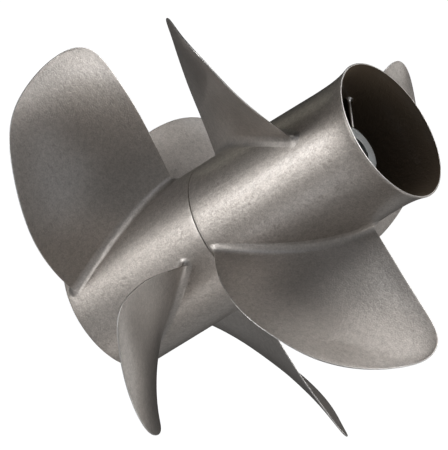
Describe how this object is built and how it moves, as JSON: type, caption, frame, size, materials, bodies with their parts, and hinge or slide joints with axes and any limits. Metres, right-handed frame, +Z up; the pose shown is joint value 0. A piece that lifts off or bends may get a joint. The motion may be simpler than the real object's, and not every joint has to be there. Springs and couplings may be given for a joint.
{
  "type": "counter-rotating stern-drive propeller pair",
  "caption": "Two coaxial through-hub-exhaust boat propellers of cast stainless steel that turn in opposite directions on one shaft line.",
  "frame": {"origin": "on the shaft line, in the plane of the front propeller's forward thrust face", "axes": "+X aft along the shaft line, +Z up; angles round the shaft are measured from +Y towards +Z"},
  "size_m": [0.3148, 0.4062, 0.4062],
  "materials": {
    "cast_barrel": "satin, bead-blasted cast stainless steel",
    "cast_blade": "satin, bead-blasted cast stainless steel",
    "inner_casting": "dull, as-cast stainless steel with a dark film"
  },
  "bodies": {
    "front_propeller": {"front_barrel": "cast_barrel", "front_inner_hub": "inner_casting", "front_web_1": "inner_casting", "front_web_2": "inner_casting", "front_web_3": "inner_casting", "front_web_4": "inner_casting", "front_blade_1": "cast_blade", "front_blade_2": "cast_blade", "front_blade_3": "cast_blade", "front_blade_4": "cast_blade"},
    "rear_propeller": {"rear_barrel": "cast_barrel", "rear_inner_hub": "inner_casting", "rear_web_1": "inner_casting", "rear_web_2": "inner_casting", "rear_web_3": "inner_casting", "rear_blade_1": "cast_blade", "rear_blade_2": "cast_blade", "rear_blade_3": "cast_blade"}
  },
  "joints": [
    {"name": "counter_rotation", "type": "hinge", "parent": "front_propeller", "child": "rear_propeller", "pos_m": [0.1315, 0, 0], "axis": [1, 0, 0], "continuous": true}
  ]
}
